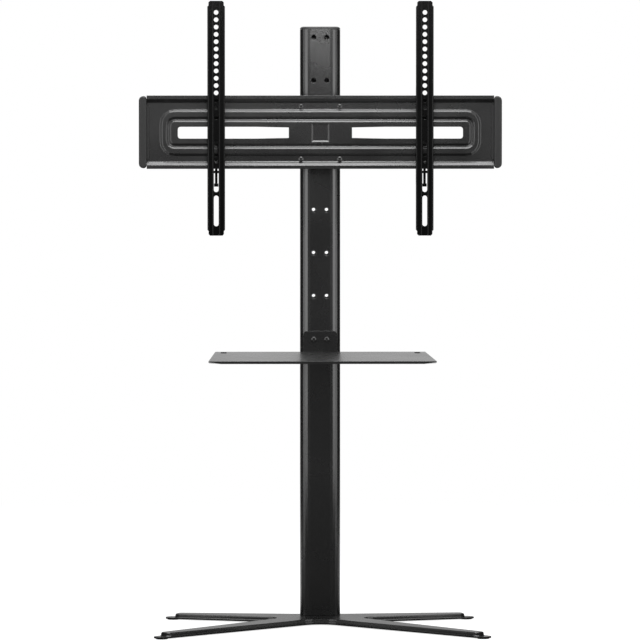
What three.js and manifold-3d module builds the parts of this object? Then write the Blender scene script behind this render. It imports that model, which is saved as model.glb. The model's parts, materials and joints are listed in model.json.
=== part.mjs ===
// A floor stand for a flat screen: a pressed base with four legs, a two-part flat-oval column,
// an equipment shelf, and a pressed mounting plate that carries two hooked brackets.
// Millimetres, +Z up, +X to the viewer's right, the front of the stand faces -Y.
import * as THREE from 'three';
import { mergeVertices } from 'three/addons/utils/BufferGeometryUtils.js';
import Module from 'manifold-3d';

const wasm = await Module();
wasm.setup();

// Shared clearances and finish of curves
const SEAT_GAP = 0.3; // between pieces that rest on or fit into each other
const OVERRUN = 3; // how far a cut runs past the face that it opens
const ARC_STEPS = 4; // straight steps in each rounded corner
const SMALL_ARC_STEPS = 2; // the same in corners of a few millimetres
const HOLE_SIDES = 12; // holes and screw heads
const SCREW_SIDES = 8; // shanks and what they thread into
const NUT_SIDES = 6;
const QUARTER_TURN = Math.PI / 2;
const FULL_TURN = Math.PI * 2;

// Base: one pressed sheet with a raised hub and legs and a flat lip all round
const PAD_THICKNESS = 1.5;
const PAD_RADIUS = 11;
const BASE_SHEET = 3;
const BASE_HEIGHT = 10.5;
const BASE_LIP = 3.5;
const BASE_DRAFT = 0.6;
const BASE_BEND = 3.2;
const BASE_FOOT_FILLET = 1.2;
const LEG_TIP_RADIUS = 14.5;
const LEG_TAB = 16;
const FRONT_TIP_X = 302;
const FRONT_TIP_Y = 357;
const REAR_TIP_X = 284;
const REAR_TIP_Y = 38;
const FRONT_NOTCH = 77;
const FRONT_NOTCH_RADIUS = 38;
const CROTCH_X = 75;
const CROTCH_Y = 52;
const CROTCH_RADIUS = 20;
const HUB_HALF_WIDTH = 50;
const HUB_REAR = 27;
const HUB_RADIUS = 12;

// Column: two lengths of flat-oval tube with a sleeve inside the joint
const TUBE_WIDTH = 77.4;
const TUBE_DEPTH = 40;
const TUBE_CORNER = 19.6;
const TUBE_WALL = 2;
const TUBE_ARC_STEPS = 6;
const COLUMN_TOP = 1148;
const CAP_LID = 5;
const CAP_CROWN = 4; // how far the lid's rounded edge falls
const CAP_CROWN_INSET = 7;
const CAP_SKIRT = 14;
const CAP_WALL = 2;
const JOINT_HEIGHT = 530;
const JOINT_LINE = 0.4;
const JOINER_REACH = 82;
const JOINER_WALL = 2.5;
const JOINER_SCREW_OFFSET = 58;
const FOOT_THICKNESS = 12;
const FOOT_SCREW_X = 24;
const FOOT_SCREW_Y = 8;

// Rows of hole pairs down the column
const ROW_PITCH = 83;
const ROW_COUNT = 8;
const FRONT_ONLY_ROW_COUNT = 2; // the first rows go through the front wall alone
const ROWS_ABOVE_MOUNT_COUNT = 2;
const ROWS_ABOVE_SHELF_COUNT = 7;
const FIRST_ROW_DROP = 20.5;
const PAIR_SPACING = 25;
const FRONT_HOLE = 8.6;
const REAR_HOLE = 6.6;
const RIM_CHAMFER = 1.1;

// Screws, nuts and sleeves, by diameter
const M5 = 5;
const M6 = 6;
const M8 = 8;
const SCREW_PLAY = 0.6; // how much wider a clearance hole is than its screw
const M5_HEAD = 8.5;
const M5_HEAD_HEIGHT = 6;
const M5_SUNK_HEAD = 9;
const M5_NUT = 9.2;
const M5_NUT_HEIGHT = 4;
const M6_HEAD = 10.5;
const M6_HEAD_HEIGHT = 3.4;
const M6_NUT = 11.4;
const M6_NUT_HEIGHT = 5;
const M8_HEAD = 14;
const M8_HEAD_HEIGHT = 4.4;
const THREAD_PROUD = 1.5;
const SLEEVE_DIAMETER = 8;
const CROWN_RISE_SHARES = [0, 0.35, 0.75, 1]; // of a head's height, up its domed side
const CROWN_REACH_SHARES = [1, 1, 0.86, 0.6]; // of its radius, at each of those heights
const SOCKET_SHARE = 0.42;
const SOCKET_DEPTH_SHARE = 0.55;
const SUNK_SOCKET_SHARE = 0.2;

// Mounting plate: lips joggled forward, nested racetrack ribs, two windows
const MOUNT_HEIGHT = 945.8;
const MOUNT_STANDOFF = 22.6;
const PLATE_SHEET = 2;
const PLATE_HALF_LENGTH = 333.5;
const PLATE_HALF_HEIGHT = 70.4;
const LIP_FORWARD = 6.4;
const LIP_HEIGHT = 6.4;
const JOGGLE_HEIGHT = 8;
const BEND_RUN_SHARE = 0.12; // of a step's width, taken by the bend at each end of it
const BEND_RISE_SHARE = 0.05; // of a step's depth, taken by the same bend
const TONGUE_REACH = 9;
const TONGUE_DROP = 6;
const RIB_DROP = 1; // ribs, windows and screws sit this much below the plate's middle
const RIB_FORWARD = 3.8;
const RIB_END_MARGIN = 25; // from the plate's edges
const RIB_SIDE_MARGIN = 25.4;
const RIB_CORNER = 28;
const RIB_SLOPE = 5.4;
const GROOVE_END_MARGIN = 11.5; // from the rib's edges
const GROOVE_SIDE_MARGIN = 14.1;
const GROOVE_CORNER = 17;
const GROOVE_WIDTH = 10.4;
const GROOVE_DEPTH = 3.4;
const GROOVE_SLOPE = 4.8;
const WINDOW_INNER = 60.7;
const WINDOW_END_MARGIN = 23.3; // from the groove's edge
const WINDOW_HALF_HEIGHT = 11.3;
const WINDOW_END_HALF_HEIGHT = 10;
const WINDOW_TAPER = 63;
const WINDOW_CORNER = 5;
const SQUARE_HALF_WIDTH = 17;
const SQUARE_HALF_HEIGHT = 17.8;
const SQUARE_DEPTH = 2;
const SQUARE_SLOPE = 2.8;
const PLATE_SCREW_X = 37.2;

// Hat-shaped adapter between the column and the plate
const ADAPTER_SHEET = 3;
const ADAPTER_INNER = 24;
const ADAPTER_HALF_WIDTH = 50;
const ADAPTER_END_MARGIN = 9; // past the plate's screws
const ADAPTER_BEND = 2;
const ADAPTER_BEND_STEPS = 3;

// Moulded caps on the plate's ends
const END_CAP_WIDTH = 15;
const END_CAP_DROP = 1.2; // below the plate's edges
const END_CAP_CORNER = 8.6;
const END_CAP_INNER_CORNER = 5;
const END_CAP_PROUD = 2.4;
const END_CAP_BACK = 2.6;
const END_CAP_EDGE = 2.8;
const END_CAP_TRIM = 5;
const END_CAP_TRIM_THICKNESS = 2;
const END_CAP_TRIM_MARGIN = 4.6;

// Hooked brackets that carry the screen
const BRACKET_CENTRE = 200; // half of the 400 mm spacing of the screen's fixings
const BRACKET_WIDTH = 33.8;
const BRACKET_SHEET = 2;
const BRACKET_BEND = 3;
const BRACKET_TOP = 251.8;
const FLANGE_DEPTH = 14;
const STRIP_WIDTH = 14;
const STRIP_DEPTH = 0.9;
const STRIP_SLOPE = 1.2;
const END_TAB = 11;
const END_TAB_INSET = 2.2;
const END_TAB_CHAMFER = 3;
const HOOK_TOOTH = 4;
const HOOK_DROP = 5.4;
const HOOK_NECK = 12;
const HOOK_RAMP = 9;
const TAIL_DEPTH = 9.6;
const TAIL_LENGTH = 24;
const TAIL_RAMP = 9;
const ARM_HOLE = 9;
const ARM_HOLE_PITCH = 14;
const ARM_HOLE_COUNT = 14;
const ARM_FIRST_HOLE = 22.2;
const ARM_PORT = 10;
const ARM_PORT_DROP = 18.5; // below the last hole of the row
const ARM_PIP = 6;
const SLOT_WIDTH = 9.2;
const SHORT_SLOT_WIDTH = 7;
const SHORT_SLOT_DROP = 44.2; // below the port
const SHORT_SLOT_LENGTH = 32.2;
const PIP_BRIDGE = 18.4; // sheet between the short slot and the lock slot, with the pip in its middle
const LOCK_SLOT_LENGTH = 48.9;
const SLOT_BRIDGE = 6.6;
const LONG_SLOT_LENGTH = 59;
const LONG_SLOT_MARGIN = 18;

// Lock screw under the plate's lower lip
const LOCK_TAB_THICKNESS = 4.6;
const LOCK_TAB_DROP = 3.6;
const LOCK_TAB_DEPTH = 14.4;
const LOCK_SCREW_PLAY = 0.4;
const LOCK_TIP_REACH = 4.4;
const LOCK_SHANK = 32.6;

// Shelf: a shallow tray screwed to a bracket that bolts to the column
const SHELF_TOP = 522.6;
const SHELF_SHEET = 2;
const SHELF_DEPTH = 344;
const SHELF_FRONT_WIDTH = 428;
const SHELF_REAR_WIDTH = 404;
const SHELF_SKIRT = 5;
const SHELF_CORNER = 2;
const SHELF_SKIRT_TAPER = 24;
const SHELF_BRACKET_SHEET = 3;
const SHELF_BACK_HALF_WIDTH = 33;
const SHELF_BACK_TOP = 40;
const SHELF_BACK_BELOW = 20;
const SHELF_BACK_CORNER = 8;
const SHELF_ARM_LENGTH = 235;
const SHELF_ARM_NOSE = 8;
const SHELF_ARM_FLANGE = 18;
const SHELF_SCREW_SETBACK = 70;
const SHELF_SCREW_MARGIN = 30;
const STRAP_SLOT_X = 186;
const STRAP_SLOT_BACK = 38;
const STRAP_SLOT_WIDTH = 11;
const STRAP_SLOT_LENGTH = 44;

// Places worked out from the sizes above
const baseBottom = PAD_THICKNESS + SEAT_GAP;
const baseTop = baseBottom + BASE_HEIGHT;
const tubeBottom = baseTop + SEAT_GAP;
const tubeTop = COLUMN_TOP - CAP_LID - SEAT_GAP;
const tubeFront = -TUBE_DEPTH / 2;
const firstRow = COLUMN_TOP - FIRST_ROW_DROP;
const pairSides = [-PAIR_SPACING / 2, PAIR_SPACING / 2];
const sides = [-1, 1];

function rowHeight(row) {
  return firstRow - row * ROW_PITCH;
}

// Materials
function paint(color, roughness, metalness) {
  return new THREE.MeshStandardMaterial({ color, roughness, metalness });
}

const satinBlack = () => paint(0x1b1b1d, 0.42, 0.5);
const bracketBlack = () => paint(0x131314, 0.5, 0.5);
const plasticBlack = () => paint(0x1f1f20, 0.62, 0);
const rubberBlack = () => paint(0x141414, 0.85, 0);
const darkZinc = () => paint(0x2b2b2e, 0.35, 0.9);

// Solids from three.js geometries
function solidOf(geometry) {
  const bare = geometry.clone();
  bare.deleteAttribute('normal');
  bare.deleteAttribute('uv');
  const merged = mergeVertices(bare);
  return new wasm.Manifold(new wasm.Mesh({
    numProp: 3,
    vertProperties: Float32Array.from(merged.attributes.position.array),
    triVerts: Uint32Array.from(merged.index.array),
  }));
}

function geometryOf(solid) {
  const mesh = solid.getMesh();
  const geometry = new THREE.BufferGeometry();
  geometry.setAttribute('position', new THREE.BufferAttribute(mesh.vertProperties, 3));
  geometry.setIndex(new THREE.BufferAttribute(mesh.triVerts, 1));
  geometry.computeVertexNormals();
  return geometry;
}

// A named mesh of one solid in its parent group
function place(parent, name, solid, material) {
  const mesh = new THREE.Mesh(geometryOf(solid), material);
  mesh.name = name;
  parent.add(mesh);
  return mesh;
}

// Identical pieces, numbered from one
function placeEach(parent, name, solids, material) {
  solids.forEach((solid, i) => place(parent, `${name}_${i + 1}`, solid, material()));
}

function joined(solids) {
  return solids.reduce((whole, solid) => whole.add(solid));
}

// Prisms: an outline in the plane across the named axis, pushed along that axis
function prism(points, from, to, basis) {
  const shape = new THREE.Shape(points);
  const geometry = new THREE.ExtrudeGeometry(shape, { depth: to - from, bevelEnabled: false });
  geometry.translate(0, 0, from);
  return solidOf(geometry.applyMatrix4(basis));
}

const [xAxis, yAxis, zAxis] = [[1, 0, 0], [0, 1, 0], [0, 0, 1]].map((v) => new THREE.Vector3(...v));
const alongX = new THREE.Matrix4().makeBasis(yAxis, zAxis, xAxis);
const alongY = new THREE.Matrix4().makeBasis(xAxis, zAxis, yAxis.clone().negate());
const alongZ = new THREE.Matrix4();

const prismX = (points, from, to) => prism(points, from, to, alongX);
const prismY = (points, from, to) => prism(points, -to, -from, alongY);
const prismZ = (points, from, to) => prism(points, from, to, alongZ);

function point(x, y) {
  return new THREE.Vector2(x, y);
}

function corner(x, y, radius = 0) {
  return { x, y, radius };
}

function mirrored(corners) {
  return corners.map(({ x, y, radius }) => corner(-x, y, radius)).reverse();
}

function rectangle(left, bottom, right, top, radius = 0) {
  return [corner(left, bottom, radius), corner(right, bottom, radius),
    corner(right, top, radius), corner(left, top, radius)];
}

// An outline through counter-clockwise corners, drawn in by an inset, with its corners rounded
function outline(corners, inset = 0, steps = ARC_STEPS) {
  const count = corners.length;
  return corners.flatMap((here, i) => {
    const before = corners[(i + count - 1) % count];
    const after = corners[(i + 1) % count];
    const arriving = point(here.x - before.x, here.y - before.y).normalize();
    const leaving = point(after.x - here.x, after.y - here.y).normalize();
    const turn = Math.atan2(arriving.cross(leaving), arriving.dot(leaving));
    const across = point(-arriving.y - leaving.y, arriving.x + leaving.x);
    const tip = point(here.x, here.y).addScaledVector(across, inset / (1 + arriving.dot(leaving)));
    if (here.radius === 0) {
      return [tip];
    }
    const radius = turn > 0 ? Math.max(here.radius - inset, SEAT_GAP) : here.radius + inset;
    const reach = radius * Math.tan(Math.abs(turn) / 2);
    const start = tip.clone().addScaledVector(arriving, -reach);
    const inward = point(-arriving.y, arriving.x).multiplyScalar(Math.sign(turn) * radius);
    const centre = start.clone().add(inward);
    return Array.from({ length: steps + 1 }, (_, k) => {
      return start.clone().rotateAround(centre, (turn * k) / steps);
    });
  });
}

// A closed skin through rings of equal length, each at its own level along Z
function loft(rings) {
  const size = rings[0].points.length;
  const positions = rings.flatMap(({ points, level }) => points.flatMap((p) => [p.x, p.y, level]));
  const faces = [];
  for (let ring = 0; ring + 1 < rings.length; ring += 1) {
    for (let i = 0; i < size; i += 1) {
      const next = (i + 1) % size;
      const [a, b] = [ring * size + i, ring * size + next];
      faces.push(a, b, b + size, a, b + size, a + size);
    }
  }
  const last = (rings.length - 1) * size;
  THREE.ShapeUtils.triangulateShape(rings[0].points, []).forEach(([a, b, c]) => faces.push(a, c, b));
  THREE.ShapeUtils.triangulateShape(rings.at(-1).points, []).forEach(([a, b, c]) => {
    faces.push(last + a, last + b, last + c);
  });
  const geometry = new THREE.BufferGeometry();
  geometry.setAttribute('position', new THREE.Float32BufferAttribute(positions, 3));
  geometry.setIndex(faces);
  return solidOf(geometry);
}

// Round bars along one axis, from one end to the other
function rod(diameter, from, to, turned, sidesCount = SCREW_SIDES) {
  const geometry = new THREE.CylinderGeometry(diameter / 2, diameter / 2, to - from, sidesCount);
  geometry.translate(0, (from + to) / 2, 0);
  return solidOf(geometry.applyMatrix4(turned));
}

const standing = new THREE.Matrix4().makeRotationX(QUARTER_TURN);
const lying = new THREE.Matrix4();
const rodZ = (diameter, x, y, from, to, n) => rod(diameter, from, to, standing, n).translate(x, y, 0);
const rodY = (diameter, x, z, from, to, n) => rod(diameter, from, to, lying, n).translate(x, 0, z);

// A domed head with its widest part on its seat
function domedHead(diameter, height) {
  const rim = Array.from({ length: HOLE_SIDES }, (_, k) => {
    return point(diameter / 2, 0).rotateAround(point(0, 0), (FULL_TURN * k) / HOLE_SIDES);
  });
  return loft(CROWN_RISE_SHARES.map((rise, ring) => ({
    points: rim.map((p) => p.clone().multiplyScalar(CROWN_REACH_SHARES[ring])),
    level: height * rise,
  })));
}

// A screw along Z with its head at the top end of the shank and a hexagon socket in the head
function screwZ(diameter, headDiameter, headHeight, x, y, seat, tip) {
  const up = Math.sign(seat - tip);
  const crown = seat + up * headHeight;
  const socketFloor = crown - up * headHeight * SOCKET_DEPTH_SHARE;
  const socketEnd = crown + up * headHeight;
  const shank = rodZ(diameter, x, y, Math.min(tip, crown - up * headHeight / 2),
    Math.max(tip, crown - up * headHeight / 2));
  const head = domedHead(headDiameter, headHeight).scale([1, 1, up]).translate(x, y, seat);
  const socket = rodZ(headDiameter * SOCKET_SHARE, x, y, Math.min(socketFloor, socketEnd),
    Math.max(socketFloor, socketEnd), NUT_SIDES);
  return shank.add(head).subtract(socket);
}

// A shank that widens at 45 degrees to a flat head: a countersunk screw, or the hole for one
function sunkShape(diameter, headDiameter, x, y, top, tip) {
  const height = (headDiameter - diameter) / 2;
  const cone = new THREE.CylinderGeometry(headDiameter / 2, diameter / 2, height, HOLE_SIDES);
  cone.translate(0, top - height / 2, 0);
  return solidOf(cone.applyMatrix4(standing)).translate(x, y, 0)
    .add(rodZ(diameter, x, y, tip, top - height, HOLE_SIDES));
}

function nutZ(x, y, from, to) {
  return rodZ(M6_NUT, x, y, from, to, NUT_SIDES)
    .subtract(rodZ(M6 + SCREW_PLAY, x, y, from - OVERRUN, to + OVERRUN));
}

// Base
function legTip(x, y, rootFrom, rootTo, back) {
  const from = point(x, y).sub(rootFrom).normalize();
  const to = point(x, y).sub(rootTo).normalize();
  const out = from.clone().add(to).normalize();
  const end = point(x, y).addScaledVector(out, LEG_TIP_RADIUS);
  const right = point(out.y, -out.x);
  return [
    end.clone().addScaledVector(right, LEG_TIP_RADIUS).addScaledVector(from, -back),
    end.clone().addScaledVector(right, -LEG_TIP_RADIUS).addScaledVector(to, -back),
  ].map((p) => corner(p.x, p.y, LEG_TIP_RADIUS - SEAT_GAP));
}

// The plan of the base, with the legs' ends drawn back along the legs
function basePlan(back) {
  const notch = corner(0, -FRONT_NOTCH, FRONT_NOTCH_RADIUS);
  const crotch = corner(CROTCH_X, -CROTCH_Y, CROTCH_RADIUS);
  const hub = corner(HUB_HALF_WIDTH, HUB_REAR, HUB_RADIUS);
  const right = [
    ...legTip(FRONT_TIP_X, -FRONT_TIP_Y, notch, crotch, back),
    crotch,
    ...legTip(REAR_TIP_X, REAR_TIP_Y, crotch, hub, back),
    hub,
  ];
  return [notch, ...right, ...mirrored(right)];
}

function baseSolid() {
  const raised = basePlan(LEG_TAB);
  const bend = (share) => ({
    inset: BASE_LIP + BASE_DRAFT + BASE_BEND * (1 - Math.cos(share * QUARTER_TURN)),
    level: baseTop - BASE_BEND * (1 - Math.sin(share * QUARTER_TURN)),
  });
  const lipTop = baseBottom + BASE_SHEET;
  const wall = [
    { inset: BASE_LIP - BASE_FOOT_FILLET, level: baseBottom },
    { inset: BASE_LIP - BASE_FOOT_FILLET, level: lipTop },
    { inset: BASE_LIP, level: lipTop + BASE_FOOT_FILLET },
    ...[0, 1 / 3, 2 / 3, 1].map(bend),
  ];
  const skin = wall.map(({ inset, level }) => ({ points: outline(raised, inset), level }));
  const hollowTop = baseTop - BASE_SHEET;
  const hollow = [
    { inset: BASE_LIP + BASE_SHEET, level: baseBottom - OVERRUN },
    { inset: BASE_LIP + BASE_SHEET, level: hollowTop - BASE_SHEET / 2 },
    { inset: BASE_LIP + BASE_SHEET + BASE_DRAFT, level: hollowTop },
  ].map(({ inset, level }) => ({ points: outline(raised, inset), level }));
  const lip = prismZ(outline(basePlan(0)), baseBottom, lipTop);
  const holes = footScrewPlaces().map(([x, y]) => {
    return rodZ(M8 + SCREW_PLAY, x, y, hollowTop - OVERRUN, baseTop + OVERRUN, HOLE_SIDES);
  });
  return lip.add(loft(skin)).subtract(loft(hollow)).subtract(joined(holes));
}

function footScrewPlaces() {
  return sides.flatMap((x) => sides.map((y) => [x * FOOT_SCREW_X, y * FOOT_SCREW_Y]));
}

function addBase(stand) {
  place(stand, 'base_plate', baseSolid(), satinBlack());
  const tips = { front: [FRONT_TIP_X, -FRONT_TIP_Y], rear: [REAR_TIP_X, REAR_TIP_Y] };
  Object.entries(tips).forEach(([end, [x, y]]) => {
    [['left', -x], ['right', x]].forEach(([side, across]) => {
      const pad = rodZ(PAD_RADIUS * 2, across, y, 0, PAD_THICKNESS, HOLE_SIDES);
      place(stand, `foot_pad_${end}_${side}`, pad, rubberBlack());
    });
  });
}

// Column
function tubeOutline(inset) {
  const [w, d] = [TUBE_WIDTH / 2, TUBE_DEPTH / 2];
  return outline(rectangle(-w, -d, w, d, TUBE_CORNER), inset, TUBE_ARC_STEPS);
}

function tube(inset, wall, from, to) {
  const inside = prismZ(tubeOutline(inset + wall), from - OVERRUN, to + OVERRUN);
  return prismZ(tubeOutline(inset), from, to).subtract(inside);
}

// A hole in the front wall, wide enough for a bolt's sleeve, with its rim broken
function frontHole(x, z, front) {
  const bore = rodY(FRONT_HOLE, x, z, front - OVERRUN, 0, HOLE_SIDES);
  const rim = new THREE.CylinderGeometry(FRONT_HOLE / 2, FRONT_HOLE / 2 + RIM_CHAMFER * 2,
    RIM_CHAMFER * 2, HOLE_SIDES);
  return bore.add(solidOf(rim).translate(x, front, z));
}

function rearHole(x, z) {
  return rodY(REAR_HOLE, x, z, 0, TUBE_DEPTH / 2 + OVERRUN, HOLE_SIDES);
}

function rowHoles(fromRow, toRow, wallFront) {
  const holes = [];
  for (let row = fromRow; row < toRow; row += 1) {
    pairSides.forEach((x) => {
      holes.push(frontHole(x, rowHeight(row), wallFront));
      if (row >= FRONT_ONLY_ROW_COUNT) {
        holes.push(rearHole(x, rowHeight(row)));
      }
    });
  }
  return joined(holes);
}

function joinerScrewRows() {
  return [JOINT_HEIGHT - JOINER_SCREW_OFFSET, JOINT_HEIGHT + JOINER_SCREW_OFFSET];
}

function joinerScrewHoles(height) {
  return joined(pairSides.map((x) => rearHole(x, height)));
}

function addColumn(stand) {
  const [lowerRow, upperRow] = joinerScrewRows();
  const lower = tube(0, TUBE_WALL, tubeBottom, JOINT_HEIGHT - JOINT_LINE / 2)
    .subtract(rowHoles(0, ROW_COUNT, tubeFront))
    .subtract(joinerScrewHoles(lowerRow));
  const upper = tube(0, TUBE_WALL, JOINT_HEIGHT + JOINT_LINE / 2, tubeTop)
    .subtract(rowHoles(0, ROW_COUNT, tubeFront))
    .subtract(joinerScrewHoles(upperRow));
  place(stand, 'lower_column', lower, satinBlack());
  place(stand, 'upper_column', upper, satinBlack());

  const fit = TUBE_WALL + SEAT_GAP;
  const joiner = tube(fit, JOINER_WALL, JOINT_HEIGHT - JOINER_REACH, JOINT_HEIGHT + JOINER_REACH)
    .subtract(rowHoles(0, ROW_COUNT, tubeFront + fit))
    .subtract(joinerScrewHoles(lowerRow))
    .subtract(joinerScrewHoles(upperRow));
  place(stand, 'column_joiner', joiner, darkZinc());

  const footTop = tubeBottom + FOOT_THICKNESS;
  const screwBores = footScrewPlaces().map(([x, y]) => {
    return rodZ(M8 + SCREW_PLAY, x, y, tubeBottom - OVERRUN, footTop + OVERRUN, HOLE_SIDES);
  });
  const foot = prismZ(tubeOutline(fit), tubeBottom, footTop).subtract(joined(screwBores));
  place(stand, 'column_foot', foot, darkZinc());

  const headSeat = baseTop - BASE_SHEET - SEAT_GAP;
  const screws = footScrewPlaces().map(([x, y]) => {
    return screwZ(M8, M8_HEAD, M8_HEAD_HEIGHT, x, y, headSeat, footTop + THREAD_PROUD);
  });
  placeEach(stand, 'base_screw', screws, darkZinc);

  const crown = Array.from({ length: ARC_STEPS + 1 }, (_, k) => {
    const turn = (QUARTER_TURN * k) / ARC_STEPS;
    return {
      inset: CAP_CROWN_INSET * (1 - Math.cos(turn)),
      level: COLUMN_TOP - CAP_CROWN * (1 - Math.sin(turn)),
    };
  });
  const lid = [{ inset: 0, level: tubeTop + SEAT_GAP }, ...crown]
    .map(({ inset, level }) => ({ points: tubeOutline(inset), level }));
  const skirt = tube(fit, CAP_WALL, tubeTop - CAP_SKIRT, tubeTop + SEAT_GAP * 2);
  const row = rowHoles(0, 1, tubeFront + fit);
  place(stand, 'column_cap', loft(lid).add(skirt).subtract(row), plasticBlack());
}

// Bolts that run from the front of the column to nuts behind it, drawn in the front frame:
// across, up, and towards the viewer
function frontFrame(parent, height, forward) {
  const frame = new THREE.Group();
  frame.position.set(0, tubeFront - forward, height);
  frame.rotation.x = QUARTER_TURN;
  parent.add(frame);
  return frame;
}

function placeColumnBolts(frame, name, height, seat, columnFace, backWall) {
  const columnBack = columnFace - TUBE_DEPTH;
  const nutFront = columnBack - SEAT_GAP;
  const nutBack = nutFront - M6_NUT_HEIGHT;
  const sleeveBack = columnBack + backWall + SEAT_GAP;
  const bolts = pairSides.map((x) => {
    return screwZ(M6, M6_HEAD, M6_HEAD_HEIGHT, x, height, seat + SEAT_GAP, nutBack - THREAD_PROUD);
  });
  const sleeves = pairSides.map((x) => {
    return rodZ(SLEEVE_DIAMETER, x, height, sleeveBack, columnFace, HOLE_SIDES)
      .subtract(rodZ(M6 + SCREW_PLAY, x, height, sleeveBack - OVERRUN, columnFace + OVERRUN));
  });
  placeEach(frame, `${name}_bolt`, bolts, darkZinc);
  placeEach(frame, `${name}_bolt_sleeve`, sleeves, darkZinc);
  const nuts = pairSides.map((x) => nutZ(x, height, nutBack, nutFront));
  placeEach(frame, `${name}_bolt_nut`, nuts, darkZinc);
}

// Mounting plate
function racetrack(halfLength, halfHeight, radius) {
  return rectangle(-halfLength, -halfHeight - RIB_DROP, halfLength, halfHeight - RIB_DROP, radius);
}

// How a pressed step rises across its width, from one bend to the other
const stepShares = [
  [0, 0],
  [BEND_RUN_SHARE, BEND_RISE_SHARE],
  [1 - BEND_RUN_SHARE, 1 - BEND_RISE_SHARE],
  [1, 1],
];

// Rings of a step that goes from one level to another while its outline draws in
function stepRings(corners, slope, from, to) {
  return stepShares.map(([run, rise]) => ({
    points: outline(corners, slope * run),
    level: from + (to - from) * rise,
  }));
}

function joggle(fromHeight, toHeight, fromLevel, toLevel) {
  return stepShares.map(([run, rise]) => {
    return point(fromHeight + (toHeight - fromHeight) * run, fromLevel + (toLevel - fromLevel) * rise);
  });
}

const lipFoot = PLATE_HALF_HEIGHT - LIP_HEIGHT;
const webEdge = lipFoot - JOGGLE_HEIGHT;
const ribHalfLength = PLATE_HALF_LENGTH - RIB_END_MARGIN;
const ribHalfHeight = PLATE_HALF_HEIGHT - RIB_SIDE_MARGIN;
const grooveHalfLength = ribHalfLength - GROOVE_END_MARGIN;
const grooveHalfHeight = ribHalfHeight - GROOVE_SIDE_MARGIN;
const windowOuter = grooveHalfLength - WINDOW_END_MARGIN;
const plateScrewHeight = (webEdge + ribHalfHeight) / 2;

// Everything behind the plate's pressed front face, down to a back plane
function pressedFace(back) {
  const section = [
    point(-PLATE_HALF_HEIGHT, back),
    point(PLATE_HALF_HEIGHT, back),
    point(PLATE_HALF_HEIGHT, LIP_FORWARD),
    ...joggle(lipFoot, webEdge, LIP_FORWARD, 0),
    ...joggle(-webEdge, -lipFoot, 0, LIP_FORWARD),
    point(-PLATE_HALF_HEIGHT, LIP_FORWARD),
  ];
  const body = prismX(section, -PLATE_HALF_LENGTH, PLATE_HALF_LENGTH);
  const tongueLength = PLATE_HALF_LENGTH + TONGUE_REACH;
  const tongueHeight = PLATE_HALF_HEIGHT - TONGUE_DROP;
  const tongue = prismZ(outline(rectangle(-tongueLength, -tongueHeight, tongueLength, tongueHeight)),
    back, 0);

  const ribPlan = racetrack(ribHalfLength, ribHalfHeight, RIB_CORNER);
  const rib = loft([
    { points: outline(ribPlan), level: back },
    ...stepRings(ribPlan, RIB_SLOPE, 0, RIB_FORWARD),
  ]);
  const floor = RIB_FORWARD - GROOVE_DEPTH;
  const groovePlan = racetrack(grooveHalfLength, grooveHalfHeight, GROOVE_CORNER);
  const grooveOuter = loft([
    ...stepRings(groovePlan, GROOVE_SLOPE, RIB_FORWARD, floor).reverse(),
    { points: outline(groovePlan), level: RIB_FORWARD + OVERRUN },
  ]);
  const inner = GROOVE_WIDTH - GROOVE_SLOPE;
  const panelPlan = racetrack(grooveHalfLength - inner, grooveHalfHeight - inner, GROOVE_CORNER - inner);
  const panel = loft([
    { points: outline(panelPlan), level: back },
    ...stepRings(panelPlan, GROOVE_SLOPE, floor, RIB_FORWARD),
    { points: outline(panelPlan, GROOVE_SLOPE), level: RIB_FORWARD + OVERRUN * 2 },
  ]);
  const squarePlan = racetrack(SQUARE_HALF_WIDTH, SQUARE_HALF_HEIGHT, 0);
  const squareFloor = RIB_FORWARD - SQUARE_DEPTH;
  const square = loft([
    ...stepRings(squarePlan, SQUARE_SLOPE, RIB_FORWARD, squareFloor).reverse(),
    { points: outline(squarePlan), level: RIB_FORWARD + OVERRUN },
  ]);
  return body.add(tongue).add(rib).subtract(grooveOuter.subtract(panel)).subtract(square);
}

// The right window, which narrows towards the plate's middle
function windowOutline() {
  const taperEnd = WINDOW_INNER + WINDOW_TAPER;
  return outline([
    corner(WINDOW_INNER, -WINDOW_END_HALF_HEIGHT - RIB_DROP),
    corner(taperEnd, -WINDOW_HALF_HEIGHT - RIB_DROP),
    corner(windowOuter, -WINDOW_HALF_HEIGHT - RIB_DROP, WINDOW_CORNER),
    corner(windowOuter, WINDOW_HALF_HEIGHT - RIB_DROP, WINDOW_CORNER),
    corner(taperEnd, WINDOW_HALF_HEIGHT - RIB_DROP),
    corner(WINDOW_INNER, WINDOW_END_HALF_HEIGHT - RIB_DROP),
  ]);
}

function plateScrewPlaces() {
  return sides.flatMap((x) => sides.map((z) => [x * PLATE_SCREW_X, z * plateScrewHeight - RIB_DROP]));
}

function plateSolid() {
  const back = -PLATE_SHEET * 4;
  const face = pressedFace(back);
  const sheet = face.subtract(face.translate(0, 0, -PLATE_SHEET));
  const front = LIP_FORWARD + OVERRUN;
  const window = prismZ(windowOutline(), back, front);
  const holes = plateScrewPlaces().map(([x, z]) => {
    return rodZ(M6 + SCREW_PLAY, x, z, back, front, HOLE_SIDES);
  });
  return sheet.subtract(window).subtract(window.mirror([1, 0, 0])).subtract(joined(holes));
}

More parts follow.
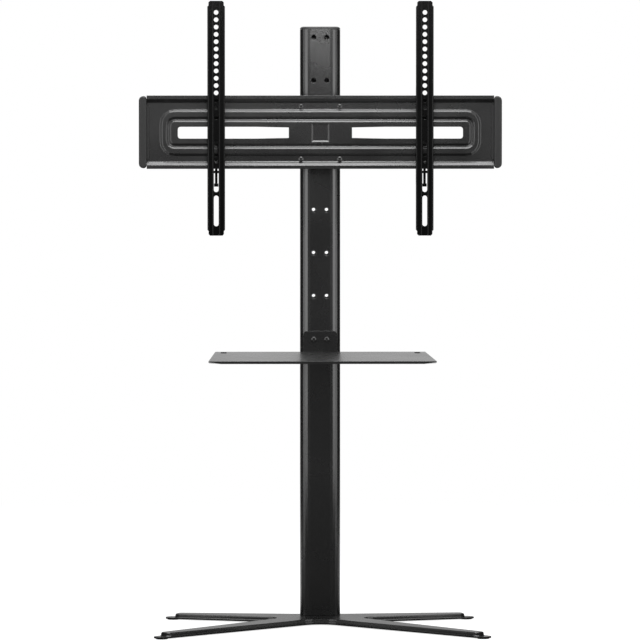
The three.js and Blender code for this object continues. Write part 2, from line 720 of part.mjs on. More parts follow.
function adapterSolid(columnFace, boltHeight) {
  const feetFront = -PLATE_SHEET - SEAT_GAP;
  const feetBack = feetFront - ADAPTER_SHEET;
  const webBack = columnFace + SEAT_GAP;
  const webFront = webBack + ADAPTER_SHEET;
  const outerSide = ADAPTER_INNER + ADAPTER_SHEET;
  const half = [
    corner(outerSide, webBack, ADAPTER_BEND + ADAPTER_SHEET),
    corner(outerSide, feetBack, ADAPTER_BEND),
    corner(ADAPTER_HALF_WIDTH, feetBack),
    corner(ADAPTER_HALF_WIDTH, feetFront),
    corner(ADAPTER_INNER, feetFront, ADAPTER_BEND + ADAPTER_SHEET),
    corner(ADAPTER_INNER, webFront, ADAPTER_BEND),
  ];
  const hat = outline([...half, ...mirrored(half)], 0, ADAPTER_BEND_STEPS);
  const weldNuts = plateScrewPlaces().map(([x, z]) => {
    return rodZ(M6_NUT, x, z, feetBack - M6_NUT_HEIGHT, feetBack + ADAPTER_SHEET / 2, NUT_SIDES);
  });
  const boltPlaces = pairSides.map((x) => [x, boltHeight]);
  const holes = [...plateScrewPlaces(), ...boltPlaces].map(([x, z]) => {
    return rodZ(M6 + SCREW_PLAY, x, z, webBack - OVERRUN, OVERRUN, HOLE_SIDES);
  });
  const halfHeight = plateScrewHeight + ADAPTER_END_MARGIN;
  return prismY(hat, -halfHeight, halfHeight)
    .add(joined(weldNuts))
    .subtract(joined(holes));
}

function endCapSolid() {
  const inner = PLATE_HALF_LENGTH + SEAT_GAP;
  const outer = PLATE_HALF_LENGTH + END_CAP_WIDTH;
  const halfHeight = PLATE_HALF_HEIGHT - END_CAP_DROP;
  const trimHalf = webEdge - END_CAP_TRIM_MARGIN;
  const back = -PLATE_SHEET - END_CAP_BACK;
  const front = LIP_FORWARD + END_CAP_PROUD;
  const plan = [
    corner(inner, -halfHeight, END_CAP_INNER_CORNER),
    corner(outer, -halfHeight, END_CAP_CORNER),
    corner(outer, halfHeight, END_CAP_CORNER),
    corner(inner, halfHeight, END_CAP_INNER_CORNER),
  ];
  const rings = [
    { inset: END_CAP_EDGE, level: back },
    { inset: 0, level: back + END_CAP_EDGE },
    { inset: 0, level: front - END_CAP_EDGE },
    { inset: END_CAP_EDGE / 3, level: front - END_CAP_EDGE / 3 },
    { inset: END_CAP_EDGE, level: front },
  ].map(({ inset, level }) => ({ points: outline(plan, inset), level }));
  const trimPlan = rectangle(inner - END_CAP_TRIM, -trimHalf, inner + END_CAP_EDGE * 2, trimHalf);
  const trim = prismZ(outline(trimPlan), SEAT_GAP, END_CAP_TRIM_THICKNESS + SEAT_GAP);
  const slotEnd = PLATE_HALF_LENGTH + TONGUE_REACH + SEAT_GAP;
  const slotHalf = PLATE_HALF_HEIGHT - TONGUE_DROP + SEAT_GAP;
  const slot = prismZ(outline(rectangle(inner - END_CAP_TRIM - OVERRUN, -slotHalf, slotEnd, slotHalf)),
    -PLATE_SHEET - SEAT_GAP, SEAT_GAP);
  return loft(rings).add(trim).subtract(slot);
}

// Brackets
const bracketFront = LIP_FORWARD + SEAT_GAP + FLANGE_DEPTH;
const portDrop = ARM_FIRST_HOLE + (ARM_HOLE_COUNT - 1) * ARM_HOLE_PITCH + ARM_PORT_DROP;
const shortSlot = slotBelow(portDrop + SHORT_SLOT_DROP, SHORT_SLOT_LENGTH);
const lockSlot = slotBelow(shortSlot.end + PIP_BRIDGE, LOCK_SLOT_LENGTH);
const longSlot = slotBelow(lockSlot.end + SLOT_BRIDGE, LONG_SLOT_LENGTH);
const bracketBottom = BRACKET_TOP - longSlot.end - LONG_SLOT_MARGIN;

// Where a slot starts and ends, measured down from the bracket's top
function slotBelow(start, length) {
  return { start, end: start + length };
}

// The channel's cross-section: a web with a stamped strip, and two flanges
function channelSection(rear) {
  const half = BRACKET_WIDTH / 2;
  const innerHalf = half - BRACKET_SHEET;
  const webBack = bracketFront - BRACKET_SHEET;
  const stripEdge = STRIP_WIDTH / 2;
  const stripFloor = stripEdge - STRIP_SLOPE;
  const right = [
    corner(stripFloor, webBack - STRIP_DEPTH),
    corner(stripEdge, webBack),
    corner(innerHalf, webBack, BRACKET_BEND - BRACKET_SHEET),
    corner(innerHalf, rear),
    corner(half, rear),
    corner(half, bracketFront, BRACKET_BEND),
    corner(stripEdge, bracketFront),
    corner(stripFloor, bracketFront - STRIP_DEPTH),
  ];
  return outline([...right, ...mirrored(right)]);
}

// The side view: the web's full length, the flanges, the hook over the plate's upper lip,
// and the tail that holds the lock tab under the lower lip
function bracketProfile() {
  const lipBack = LIP_FORWARD - PLATE_SHEET;
  const flangeRear = bracketFront - FLANGE_DEPTH;
  const toothFront = lipBack - SEAT_GAP;
  const toothRear = toothFront - HOOK_TOOTH;
  const lipTop = PLATE_HALF_HEIGHT + SEAT_GAP;
  const tailRear = flangeRear - TAIL_DEPTH;
  const webBack = bracketFront - BRACKET_SHEET - STRIP_DEPTH;
  const bevel = HOOK_TOOTH / 3;
  return [
    point(BRACKET_TOP, bracketFront + OVERRUN),
    point(BRACKET_TOP, webBack),
    point(BRACKET_TOP - END_TAB, webBack),
    point(BRACKET_TOP - END_TAB - BRACKET_BEND, flangeRear),
    point(lipTop + HOOK_NECK + HOOK_RAMP, flangeRear),
    point(lipTop + HOOK_NECK, toothRear),
    point(lipTop - HOOK_DROP + bevel, toothRear),
    point(lipTop - HOOK_DROP, toothRear + bevel),
    point(lipTop - HOOK_DROP, toothFront - bevel),
    point(lipTop - HOOK_DROP + bevel, toothFront),
    point(lipTop, toothFront),
    point(lipTop, flangeRear),
    point(-lipTop, flangeRear),
    point(-lipTop, tailRear),
    point(-lipTop - TAIL_LENGTH, tailRear),
    point(-lipTop - TAIL_LENGTH - TAIL_RAMP, flangeRear),
    point(bracketBottom + END_TAB + BRACKET_BEND, flangeRear),
    point(bracketBottom + END_TAB, webBack),
    point(bracketBottom, webBack),
    point(bracketBottom, bracketFront + OVERRUN),
  ];
}

function bracketFrontView() {
  const half = BRACKET_WIDTH / 2;
  const tab = half - END_TAB_INSET;
  const shoulder = END_TAB - END_TAB_INSET;
  const chamfered = tab - END_TAB_CHAMFER;
  const right = [
    corner(chamfered, bracketBottom),
    corner(tab, bracketBottom + END_TAB_CHAMFER),
    corner(tab, bracketBottom + shoulder),
    corner(half, bracketBottom + END_TAB),
    corner(half, BRACKET_TOP - END_TAB),
    corner(tab, BRACKET_TOP - shoulder),
    corner(tab, BRACKET_TOP - END_TAB_CHAMFER),
    corner(chamfered, BRACKET_TOP),
  ];
  return outline([...right, ...mirrored(right)]);
}

function slotOutline(width, { start, end }) {
  const half = width / 2;
  return outline(rectangle(-half, BRACKET_TOP - end, half, BRACKET_TOP - start,
    half - SEAT_GAP / 3));
}

function bracketOpenings() {
  const from = bracketFront - BRACKET_SHEET - STRIP_DEPTH - OVERRUN;
  const to = bracketFront + OVERRUN;
  const hole = (diameter, drop) => rodZ(diameter, 0, BRACKET_TOP - drop, from, to, HOLE_SIDES);
  const row = Array.from({ length: ARM_HOLE_COUNT }, (_, i) => {
    return hole(ARM_HOLE, ARM_FIRST_HOLE + i * ARM_HOLE_PITCH);
  });
  const slots = [[SHORT_SLOT_WIDTH, shortSlot], [SLOT_WIDTH, lockSlot], [SLOT_WIDTH, longSlot]];
  return joined([
    ...row,
    hole(ARM_PORT, portDrop),
    hole(ARM_PIP, shortSlot.end + PIP_BRIDGE / 2),
    ...slots.map(([width, span]) => prismZ(slotOutline(width, span), from, to)),
  ]);
}

function bracketSolid() {
  const rear = -PLATE_SHEET * 4;
  const half = BRACKET_WIDTH;
  return prismY(channelSection(rear), bracketBottom, BRACKET_TOP)
    .intersect(prismX(bracketProfile(), -half, half))
    .intersect(prismZ(bracketFrontView(), rear - OVERRUN, bracketFront + OVERRUN))
    .subtract(bracketOpenings());
}

function lockScrewAxis() {
  return LIP_FORWARD - PLATE_SHEET - LOCK_SCREW_PLAY - M5 / 2;
}

function lockTabSolid() {
  const half = BRACKET_WIDTH / 2 - BRACKET_SHEET - SEAT_GAP;
  const top = -PLATE_HALF_HEIGHT - LOCK_TAB_DROP;
  const rear = bracketFront - FLANGE_DEPTH - TAIL_DEPTH + SEAT_GAP;
  const plan = rectangle(-half, rear, half, rear + LOCK_TAB_DEPTH, SEAT_GAP * 2);
  const bar = prismY(outline(plan, 0, SMALL_ARC_STEPS), top - LOCK_TAB_THICKNESS, top);
  const bore = rodY(M5 + SCREW_PLAY, 0, lockScrewAxis(), top - LOCK_TAB_THICKNESS - OVERRUN,
    top + OVERRUN);
  return bar.subtract(bore);
}

function lockScrewSolid() {
  const tip = -PLATE_HALF_HEIGHT + LOCK_TIP_REACH;
  const seat = tip - LOCK_SHANK;
  const crown = seat - M5_HEAD_HEIGHT;
  const axis = lockScrewAxis();
  return rodY(M5, 0, axis, crown + M5_HEAD_HEIGHT / 2, tip)
    .add(rodY(M5_HEAD, 0, axis, crown, seat, HOLE_SIDES))
    .subtract(rodY(M5_HEAD * SOCKET_SHARE, 0, axis, crown - OVERRUN,
      crown + M5_HEAD_HEIGHT * SOCKET_DEPTH_SHARE, NUT_SIDES));
}

function addMount(stand) {
  const frame = frontFrame(stand, MOUNT_HEIGHT, MOUNT_STANDOFF);
  const columnFace = -MOUNT_STANDOFF;
  const boltSeat = columnFace + SEAT_GAP + ADAPTER_SHEET;
  const boltHeight = rowHeight(ROWS_ABOVE_MOUNT_COUNT) - MOUNT_HEIGHT;
  place(frame, 'mount_adapter', adapterSolid(columnFace, boltHeight), satinBlack());
  placeColumnBolts(frame, 'mount', boltHeight, boltSeat, columnFace, TUBE_WALL);
  place(frame, 'mount_plate', plateSolid(), satinBlack());

  const screwTip = -PLATE_SHEET - SEAT_GAP - ADAPTER_SHEET - M6_NUT_HEIGHT - THREAD_PROUD;
  const screws = plateScrewPlaces().map(([x, z]) => {
    return screwZ(M6, M6_HEAD, M6_HEAD_HEIGHT, x, z, SEAT_GAP, screwTip);
  });
  placeEach(frame, 'plate_screw', screws, darkZinc);

  const cap = endCapSolid();
  place(frame, 'plate_end_cap_left', cap.mirror([1, 0, 0]), plasticBlack());
  place(frame, 'plate_end_cap_right', cap, plasticBlack());

  [['left', -BRACKET_CENTRE], ['right', BRACKET_CENTRE]].forEach(([side, x]) => {
    const arm = new THREE.Group();
    arm.position.x = x;
    frame.add(arm);
    place(arm, `bracket_${side}`, bracketSolid(), bracketBlack());
    place(arm, `lock_tab_${side}`, lockTabSolid(), bracketBlack());
    place(arm, `lock_screw_${side}`, lockScrewSolid(), darkZinc());
  });
}

// Shelf
const shelfBack = tubeFront - SEAT_GAP - SHELF_BRACKET_SHEET;
const trayRear = shelfBack - SEAT_GAP;
const trayFront = trayRear - SHELF_DEPTH;
const trayUnderside = SHELF_TOP - SHELF_SHEET;

// The tray's plan, its front and rear corners cut off by the given lengths
function trayPlan(frontCut, rearCut) {
  const [front, rear] = [SHELF_FRONT_WIDTH / 2, SHELF_REAR_WIDTH / 2];
  const lean = (front - rear) / SHELF_DEPTH;
  const right = [
    corner(front - frontCut, trayFront),
    corner(front - frontCut * lean, trayFront + frontCut),
    corner(rear + rearCut * lean, trayRear - rearCut),
    corner(rear - rearCut, trayRear),
  ];
  return [...right, ...mirrored(right)];
}

function trayScrewPlaces() {
  const x = SHELF_BACK_HALF_WIDTH + SHELF_ARM_FLANGE / 2;
  const reaches = [SHELF_SCREW_SETBACK, SHELF_ARM_LENGTH - SHELF_SCREW_MARGIN];
  return sides.flatMap((side) => reaches.map((reach) => [side * x, trayRear - reach]));
}

function traySolid() {
  const skirtBottom = SHELF_TOP - SHELF_SKIRT;
  const sharp = trayPlan(SHELF_CORNER, SHELF_CORNER);
  const tapered = trayPlan(SHELF_SKIRT_TAPER, SHELF_CORNER);
  const pan = loft([
    { points: outline(tapered), level: skirtBottom },
    { points: outline(sharp), level: trayUnderside },
    { points: outline(sharp), level: SHELF_TOP },
  ]);
  const inside = loft([
    { points: outline(tapered, SHELF_SHEET), level: skirtBottom - OVERRUN },
    { points: outline(tapered, SHELF_SHEET), level: skirtBottom },
    { points: outline(sharp, SHELF_SHEET), level: trayUnderside },
  ]);
  const gapHalf = SHELF_BACK_HALF_WIDTH + SHELF_ARM_FLANGE + OVERRUN;
  const rearGap = prismZ(outline(rectangle(-gapHalf, trayRear - OVERRUN, gapHalf, trayRear + OVERRUN)),
    skirtBottom - OVERRUN, trayUnderside);
  const slotRear = trayRear - STRAP_SLOT_BACK + STRAP_SLOT_LENGTH / 2;
  const slots = sides.map((side) => {
    const x = side * STRAP_SLOT_X;
    const half = STRAP_SLOT_WIDTH / 2;
    return prismZ(outline(rectangle(x - half, slotRear - STRAP_SLOT_LENGTH, x + half, slotRear,
      half - SEAT_GAP)), trayUnderside - OVERRUN, SHELF_TOP + OVERRUN);
  });
  const [shank, head] = [M5 + SCREW_PLAY, M5_SUNK_HEAD + SCREW_PLAY];
  const holes = trayScrewPlaces().map(([x, y]) => {
    return sunkShape(shank, head, x, y, SHELF_TOP, trayUnderside - OVERRUN)
      .add(rodZ(head, x, y, SHELF_TOP, SHELF_TOP + OVERRUN, HOLE_SIDES));
  });
  return pan.subtract(inside).subtract(rearGap).subtract(joined([...slots, ...holes]));
}

function shelfBracketSolid() {
  const top = trayUnderside - SEAT_GAP;
  const bottom = top - SHELF_BACK_BELOW;
  const half = SHELF_BACK_HALF_WIDTH;
  const sheet = SHELF_BRACKET_SHEET;
  const nose = shelfBack - SHELF_ARM_LENGTH;
  const backPlate = prismY(outline(rectangle(-half, bottom, half, SHELF_TOP + SHELF_BACK_TOP,
    SHELF_BACK_CORNER)), shelfBack, shelfBack + sheet);
  const arms = sides.map((side) => {
    const [inner, outer] = [side * (half - sheet), side * half].sort((a, b) => a - b);
    const web = prismX([
      point(shelfBack + sheet, bottom + SHELF_BACK_CORNER),
      point(shelfBack + sheet, top),
      point(nose, top),
      point(nose, top - SHELF_ARM_NOSE),
      point(shelfBack - SHELF_BACK_BELOW, bottom),
      point(shelfBack, bottom),
    ], inner, outer);
    const [left, right] = [inner, side * (half + SHELF_ARM_FLANGE)].sort((a, b) => a - b);
    const ledge = prismZ(outline(rectangle(left, nose, right, shelfBack, sheet), 0, SMALL_ARC_STEPS),
      top - sheet, top);
    return web.add(ledge);
  });
  const boltHoles = pairSides.map((x) => {
    return rodY(M6 + SCREW_PLAY, x, rowHeight(ROWS_ABOVE_SHELF_COUNT), shelfBack - OVERRUN,
      shelfBack + sheet + OVERRUN, HOLE_SIDES);
  });
  const weldNuts = trayScrewPlaces().map(([x, y]) => {
    return rodZ(M5_NUT, x, y, top - sheet - M5_NUT_HEIGHT, top - sheet / 2, NUT_SIDES);
  });
  const screwHoles = trayScrewPlaces().map(([x, y]) => {
    return rodZ(M5 + SCREW_PLAY, x, y, bottom - OVERRUN, top + OVERRUN, HOLE_SIDES);
  });
  return backPlate.add(joined([...arms, ...weldNuts])).subtract(joined([...boltHoles, ...screwHoles]));
}

function addShelf(stand) {
  place(stand, 'shelf_bracket', shelfBracketSolid(), satinBlack());
  place(stand, 'shelf_tray', traySolid(), satinBlack());

  const screwTip = trayUnderside - SEAT_GAP - SHELF_BRACKET_SHEET - M5_NUT_HEIGHT - THREAD_PROUD;
  const socketFloor = SHELF_TOP - M5_SUNK_HEAD * SUNK_SOCKET_SHARE;
  const screws = trayScrewPlaces().map(([x, y]) => {
    return sunkShape(M5, M5_SUNK_HEAD, x, y, SHELF_TOP, screwTip)
      .subtract(rodZ(M5_SUNK_HEAD * SOCKET_SHARE, x, y, socketFloor, SHELF_TOP + OVERRUN, NUT_SIDES));
  });
  placeEach(stand, 'tray_screw', screws, darkZinc);

  const frame = frontFrame(stand, rowHeight(ROWS_ABOVE_SHELF_COUNT), 0);
  const seat = SEAT_GAP + SHELF_BRACKET_SHEET;
  placeColumnBolts(frame, 'shelf', 0, seat, 0, TUBE_WALL + SEAT_GAP + JOINER_WALL);
}

// Screws through the rear wall into the sleeve in the column's joint, drawn from behind
function addJoinerScrews(stand) {
  const seat = TUBE_DEPTH / 2 + SEAT_GAP;
  const tip = TUBE_DEPTH / 2 - TUBE_WALL - SEAT_GAP - JOINER_WALL - THREAD_PROUD;
  const screws = joinerScrewRows().flatMap((z) => pairSides.map((x) => {
    return rodY(M6, x, z, tip, seat + M6_HEAD_HEIGHT / 2)
      .add(rodY(M6_HEAD, x, z, seat, seat + M6_HEAD_HEIGHT, HOLE_SIDES))
      .subtract(rodY(M6_HEAD * SOCKET_SHARE, x, z,
        seat + M6_HEAD_HEIGHT * (1 - SOCKET_DEPTH_SHARE), seat + M6_HEAD_HEIGHT + OVERRUN, NUT_SIDES));
  }));
  placeEach(stand, 'joiner_screw', screws, darkZinc);
}

// The origin is on the floor under the middle of the whole stand's depth
const baseDepths = outline(basePlan(0)).map((p) => p.y);
const reachForward = Math.min(trayFront, ...baseDepths);
const reachBack = Math.max(...baseDepths);

const stand = new THREE.Group();
stand.position.y = -(reachForward + reachBack) / 2;
addBase(stand);
addColumn(stand);
addJoinerScrews(stand);
addShelf(stand);
addMount(stand);

export default stand;
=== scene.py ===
"""Studio scene of a floor stand for a flat screen: finishes, lights, floor and camera around the fixed frame."""

import json
import math

import bpy
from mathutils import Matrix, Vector


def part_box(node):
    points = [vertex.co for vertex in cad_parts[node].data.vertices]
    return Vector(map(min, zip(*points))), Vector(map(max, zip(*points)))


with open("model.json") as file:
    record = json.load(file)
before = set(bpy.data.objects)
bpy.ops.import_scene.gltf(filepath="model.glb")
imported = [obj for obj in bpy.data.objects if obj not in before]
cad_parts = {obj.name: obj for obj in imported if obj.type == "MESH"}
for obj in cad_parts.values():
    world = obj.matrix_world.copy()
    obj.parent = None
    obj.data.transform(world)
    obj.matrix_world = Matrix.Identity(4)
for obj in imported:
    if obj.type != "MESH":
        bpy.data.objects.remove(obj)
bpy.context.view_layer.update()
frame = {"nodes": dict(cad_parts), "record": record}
nodes = frame["nodes"]

# Camera, in metres in the frame's axes, and the scale of the image at the column
CAMERA_X = -0.165
CAMERA_DISTANCE = 12.5
CAMERA_HEIGHT = 1.180
CAMERA_PITCH = math.radians(2.736)
CAMERA_YAW = math.radians(0.7554)
CAMERA_REACH = 200.0
METRES_PER_PIXEL = 0.001927
IMAGE_SIDE = 640
SENSOR = 36.0

column_low, column_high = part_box("lower_column")
COLUMN_Y = (column_low.y + column_high.y) / 2


def aim(thing, direction):
    """Turns a camera or lamp so that it looks along the direction, its top side up."""
    thing.rotation_euler = direction.to_track_quat("-Z", "Y").to_euler()


def make_camera():
    data = bpy.data.cameras.new("camera")
    data.sensor_width = SENSOR
    data.lens = SENSOR * CAMERA_DISTANCE / (METRES_PER_PIXEL * IMAGE_SIDE)
    data.clip_end = CAMERA_REACH
    camera = bpy.data.objects.new("camera", data)
    bpy.context.scene.collection.objects.link(camera)
    camera.location = (CAMERA_X, COLUMN_Y - CAMERA_DISTANCE, CAMERA_HEIGHT)
    aim(camera, Vector((
        math.sin(CAMERA_YAW) * math.cos(CAMERA_PITCH),
        math.cos(CAMERA_YAW) * math.cos(CAMERA_PITCH),
        -math.sin(CAMERA_PITCH),
    )))
    bpy.context.scene.camera = camera


make_camera()


# Node helpers
WHITE = (1.0, 1.0, 1.0, 1.0)
NOISE_REACH = (0.3, 0.7)        # the usual lows and highs of a noise


def grey(level):
    return (level, level, level, 1.0)


class Graph:
    """Adds shader nodes to one material or world and links them."""

    def __init__(self, owner):
        owner.use_nodes = True
        self.tree = owner.node_tree
        self.tree.nodes.clear()

    def add(self, kind, values=None, **settings):
        """Adds a node; a value that is another node's socket is linked, any other is set."""
        node = self.tree.nodes.new(kind)
        for name, value in settings.items():
            setattr(node, name, value)
        for name, value in (values or {}).items():
            self.feed(node, name, value)
        return node

    def feed(self, node, socket, value):
        target = node.inputs[socket]
        if isinstance(value, bpy.types.NodeSocket):
            self.tree.links.new(value, target)
        else:
            target.default_value = value

    def math(self, operation, a, b):
        return self.add("ShaderNodeMath", {0: a, 1: b}, operation=operation).outputs[0]

    def remap(self, value, low, high, to_low, to_high):
        names = ("Value", "From Min", "From Max", "To Min", "To Max")
        values = dict(zip(names, (value, low, high, to_low, to_high)))
        return self.add("ShaderNodeMapRange", values).outputs["Result"]

    def remap_noise(self, noise, to_low, to_high):
        """Spreads a noise between two values."""
        return self.remap(noise.outputs["Fac"], *NOISE_REACH, to_low, to_high)


# Finishes: lengths in metres, tones in linear light
EDGE_ROUNDING = 0.0008          # radius that the shading gives sharp edges
EDGE_SAMPLES = 4
EDGE_COSINES = (0.99, 0.8)      # flat normal against rounded one, where wear starts and where it is full
WORN_TONE = 2.2                 # tone of a fully worn edge, as a share of the flat surface's
FLECK_TONE = 1.25               # tone of the lightest flecks, likewise
FLECK_REACH = (0.62, 0.78)      # only the peaks of the noise become flecks
LEAST_WEAR = 0.2                # share of the wear left where the specks take most of it away
DRIFT_SCALE = 7.0               # waves per metre of the slow drift in tone and gloss
SPECK_SCALE = 0.6               # waves of the specks for each one of the grain
GLOSS_DRIFT = 0.04              # change in roughness each way


def coat(name, level, roughness, specular, grain, grain_depth, tone_drift, metallic=0.0):
    """A black finish: fine grain in the relief, slow drift in tone and roughness, worn edges a little lighter."""
    material = bpy.data.materials.new(name)
    graph = Graph(material)
    place = graph.add("ShaderNodeTexCoord").outputs["Object"]
    fine = graph.add("ShaderNodeTexNoise", {
        "Vector": place, "Scale": 1 / grain, "Detail": 3.0, "Roughness": 0.6,
    })
    broad = graph.add("ShaderNodeTexNoise", {
        "Vector": place, "Scale": DRIFT_SCALE, "Detail": 4.0, "Roughness": 0.55,
    })
    speck = graph.add("ShaderNodeTexNoise", {
        "Vector": place, "Scale": SPECK_SCALE / grain, "Detail": 1.0,
    })

    rounded = graph.add("ShaderNodeBevel", {"Radius": EDGE_ROUNDING}, samples=EDGE_SAMPLES).outputs["Normal"]
    flat = graph.add("ShaderNodeNewGeometry").outputs["Normal"]
    aligned = graph.add("ShaderNodeVectorMath", {0: rounded, 1: flat}, operation="DOT_PRODUCT").outputs["Value"]
    edge = graph.remap(aligned, *EDGE_COSINES, 0.0, 1.0)
    worn = graph.math("MULTIPLY", edge, graph.remap_noise(speck, LEAST_WEAR, 1.0))

    drift = graph.remap_noise(broad, 1 - tone_drift, 1 + tone_drift)
    flecks = graph.remap(speck.outputs["Fac"], *FLECK_REACH, 1.0, FLECK_TONE)
    wear = graph.remap(worn, 0.0, 1.0, 1.0, WORN_TONE)
    shade = graph.math("MULTIPLY", graph.math("MULTIPLY", drift, flecks), wear)
    colour = graph.add("ShaderNodeMix", {"Factor": shade, "A": grey(0.0), "B": grey(level)},
                       data_type="RGBA", clamp_factor=False).outputs["Result"]
    gloss = graph.remap_noise(broad, roughness - GLOSS_DRIFT, roughness + GLOSS_DRIFT)
    relief = graph.add("ShaderNodeBump", {
        "Height": fine.outputs["Fac"], "Strength": 1.0, "Distance": grain_depth, "Normal": rounded,
    }).outputs["Normal"]
    shader = graph.add("ShaderNodeBsdfPrincipled", {
        "Base Color": colour,
        "Metallic": metallic,
        "Roughness": gloss,
        "Specular IOR Level": specular,
        "Normal": relief,
    })
    graph.add("ShaderNodeOutputMaterial", {"Surface": shader.outputs[0]})
    return material


FINISHES = {
    "frame_paint": dict(
        level=0.006, roughness=0.27, specular=1.0, grain=0.0007, grain_depth=0.00002, tone_drift=0.1),
    "bracket_paint": dict(
        level=0.003, roughness=0.2, specular=0.15, grain=0.0007, grain_depth=0.00002, tone_drift=0.1),
    "plastic": dict(
        level=0.015, roughness=0.5, specular=0.38, grain=0.0004, grain_depth=0.00003, tone_drift=0.06),
    "rubber": dict(
        level=0.02, roughness=0.8, specular=0.3, grain=0.0012, grain_depth=0.0001, tone_drift=0.15),
    "fastener": dict(
        level=0.09, roughness=0.13, specular=0.5, grain=0.0003, grain_depth=0.00001, tone_drift=0.1,
        metallic=0.9),
}
finishes = {slot: coat(slot, **values) for slot, values in FINISHES.items()}

SMOOTH_ANGLE = math.radians(31)


def smooth(piece):
    """Smooth shading across the facets of round forms and bends, while flat faces stay flat."""
    for polygon in piece.data.polygons:
        polygon.use_smooth = True
    bpy.context.view_layer.objects.active = piece
    piece.select_set(True)
    bpy.ops.object.shade_smooth_by_angle(angle=SMOOTH_ANGLE)
    piece.select_set(False)
    piece.modifiers.new("weighted_normals", "WEIGHTED_NORMAL").keep_sharp = True


def dress_frame():
    slots = {part["node"]: part["material_slot"] for part in frame["record"]["subparts"]}
    for name, piece in nodes.items():
        piece.data.materials.clear()
        piece.data.materials.append(finishes[slots[name]])
        smooth(piece)


dress_frame()


# Studio: world and floor
AMBIENT = 0.35
FLOOR_HALF = 30.0
FLOOR_TONE = 0.8                # the floor as it lights the object
SHADOW_TONE = 0.5               # the floor as it is seen close by: this tone, and
SHADOW_GLOW = 0.82              # this glow, so that it stays white outside the shadow
FADE_START = 1.4                # between these distances from the origin, in metres,
FADE_END = 3.2                  # the seen floor turns plain white


def seen_directly(graph):
    """1 for camera, glossy and transmission rays, which see the white background; 0 for the rest."""
    path = graph.add("ShaderNodeLightPath").outputs
    first = graph.math("MAXIMUM", path["Is Camera Ray"], path["Is Glossy Ray"])
    return graph.math("MAXIMUM", first, path["Is Transmission Ray"])


def make_world():
    world = bpy.data.worlds.new("studio")
    bpy.context.scene.world = world
    graph = Graph(world)
    strength = graph.remap(seen_directly(graph), 0.0, 1.0, AMBIENT, 1.0)
    light = graph.add("ShaderNodeBackground", {"Color": WHITE, "Strength": strength})
    graph.add("ShaderNodeOutputWorld", {"Surface": light.outputs[0]})


def floor_material():
    """Pale floor: white where it is seen, darker only in the stand's shadow close by."""
    material = bpy.data.materials.new("floor")
    graph = Graph(material)
    plain = graph.add("ShaderNodeBsdfDiffuse", {"Color": grey(FLOOR_TONE)})
    tone = graph.add("ShaderNodeBsdfDiffuse", {"Color": grey(SHADOW_TONE)})
    glow = graph.add("ShaderNodeEmission", {"Color": WHITE, "Strength": SHADOW_GLOW})
    near = graph.add("ShaderNodeAddShader", {0: tone.outputs[0], 1: glow.outputs[0]})
    far = graph.add("ShaderNodeEmission", {"Color": WHITE, "Strength": 1.0})
    place = graph.add("ShaderNodeNewGeometry").outputs["Position"]
    distance = graph.add("ShaderNodeVectorMath", {0: place}, operation="LENGTH").outputs["Value"]
    fade = graph.remap(distance, FADE_START, FADE_END, 0.0, 1.0)
    shown = graph.add("ShaderNodeMixShader", {0: fade, 1: near.outputs[0], 2: far.outputs[0]})
    surface = graph.add("ShaderNodeMixShader", {0: seen_directly(graph), 1: plain.outputs[0], 2: shown.outputs[0]})
    graph.add("ShaderNodeOutputMaterial", {"Surface": surface.outputs[0]})
    return material


def panel(name, corners, material):
    """A flat stage piece with four corners and one material."""
    mesh = bpy.data.meshes.new(name)
    mesh.from_pydata(corners, [], [(0, 1, 2, 3)])
    mesh.materials.append(material)
    card = bpy.data.objects.new(name, mesh)
    bpy.context.scene.collection.objects.link(card)
    return card


def level_corners(start, end, height):
    """A level rectangle between two opposite corners, each an x and a y."""
    return [(start[0], start[1], height), (end[0], start[1], height),
            (end[0], end[1], height), (start[0], end[1], height)]


def upright_corners(start, end, low, high):
    """An upright rectangle over the line between two points, each an x and a y."""
    return [(*start, low), (*end, low), (*end, high), (*start, high)]


def make_floor():
    corners = level_corners((-FLOOR_HALF, -FLOOR_HALF), (FLOOR_HALF, FLOOR_HALF), 0)
    floor = panel("floor", corners, floor_material())


# Studio: boards that only reflections see. Lengths in metres, tones as a share of white.
# Across the front and the rear: name, low edge, high edge, tone
FRONT_Y, FRONT_HALF = -1.0, 0.52
FRONT_BOARDS = (("low", 0, 0.66, 0.17), ("middle", 0.66, 0.81, 0.02), ("high", 0.81, 1.24, 0.15))
REAR_Y, REAR_HALF = 3.0, 4.0
REAR_BOARDS = (("low", 0, 0.45, 0.4), ("high", 0.45, 1.3, 0.66))
# Far out at each side: front end, rear end, top edge, tone
SIDE_X = 1.3
SIDE_BOARD = (0.0, 2.4, 2.0, 0.03)
# Beside the legs at each side, from front to rear: the same four values
SKIRTING_X = 0.4
SKIRTING = ((-0.6, -0.08, 0.22, 0.05), (-0.08, 0.05, 0.1, 0.35), (0.05, 0.2, 0.22, 0.05))
# Level boards, just over the floor and in front of the legs: two opposite corners, height, tone
CARPET_START, CARPET_END, CARPET_HEIGHT, CARPET_TONE = (-0.9, -1.0), (0.9, 0.4), 0.001, 0.05
FLAG_INNER, FLAG_OUTER, FLAG_HEIGHT, FLAG_TONE = (0.1, -0.26), (0.7, -0.8), 0.3, 0.05


def dark_card(name, corners, tone):
    """One such board, as studios use to draw the edges of black metal."""
    material = bpy.data.materials.new(name)
    graph = Graph(material)
    face = graph.add("ShaderNodeEmission", {"Color": WHITE, "Strength": tone})
    graph.add("ShaderNodeOutputMaterial", {"Surface": face.outputs[0]})
    card = panel(name, corners, material)
    card.visible_camera = False
    card.visible_diffuse = False
    card.visible_shadow = False


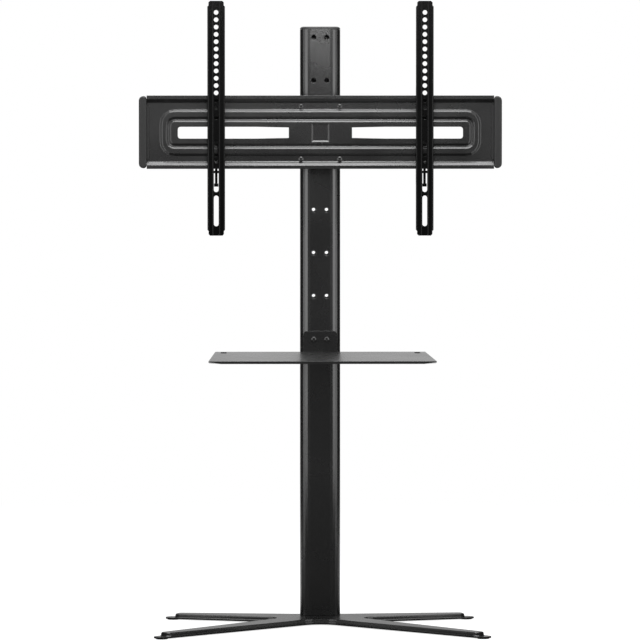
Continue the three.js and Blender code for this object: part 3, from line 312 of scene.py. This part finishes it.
def along_side(x, front, rear, top, tone):
    """Corners and tone of a board that stands on the floor and runs from front to rear."""
    return upright_corners((x, front), (x, rear), 0, top), tone


def make_boards():
    for name, low, high, tone in FRONT_BOARDS:
        corners = upright_corners((-FRONT_HALF, FRONT_Y), (FRONT_HALF, FRONT_Y), low, high)
        dark_card(f"card_front_{name}", corners, tone)
    dark_card("card_floor", level_corners(CARPET_START, CARPET_END, CARPET_HEIGHT), CARPET_TONE)
    for name, low, high, tone in REAR_BOARDS:
        corners = upright_corners((-REAR_HALF, REAR_Y), (REAR_HALF, REAR_Y), low, high)
        dark_card(f"card_rear_{name}", corners, tone)
    for side in (-1, 1):
        dark_card(f"card_side_{side}", *along_side(side * SIDE_X, *SIDE_BOARD))
        for number, board in enumerate(SKIRTING):
            dark_card(f"card_skirting_{side}_{number}", *along_side(side * SKIRTING_X, *board))
        inner, outer = ((side * x, y) for x, y in (FLAG_INNER, FLAG_OUTER))
        dark_card(f"card_flag_{side}", level_corners(inner, outer, FLAG_HEIGHT), FLAG_TONE)


# Studio: lamps. Name, place, target, width, height, and the brightness of the lamp's face.
LAMPS = (
    ("key", (0, -0.95, 1.54), (0, 0.1, 1.3), 0.3, 0.6, 11.2),
    ("top", (0, -0.1, 2.3), (0, 0.1, 0.95), 1.6, 1.0, 5.5),
    ("side_left", (-1.25, -0.85, 0.78), (0, COLUMN_Y, 0.78), 1.3, 1.1, 1.32),
    ("side_right", (1.25, -0.85, 0.78), (0, COLUMN_Y, 0.78), 1.3, 1.1, 1.32),
)


def softbox(name, place, target, width, height, glow):
    """A rectangular lamp; its power follows from its face, so that the size can change alone."""
    data = bpy.data.lights.new(name, "AREA")
    data.shape = "RECTANGLE"
    data.size, data.size_y = width, height
    data.energy = glow * math.pi * width * height
    light = bpy.data.objects.new(name, data)
    bpy.context.scene.collection.objects.link(light)
    light.location = place
    aim(light, Vector(target) - Vector(place))


make_boards()
make_world()
make_floor()
for lamp in LAMPS:
    softbox(*lamp)

bpy.context.scene.view_settings.view_transform = "Standard"
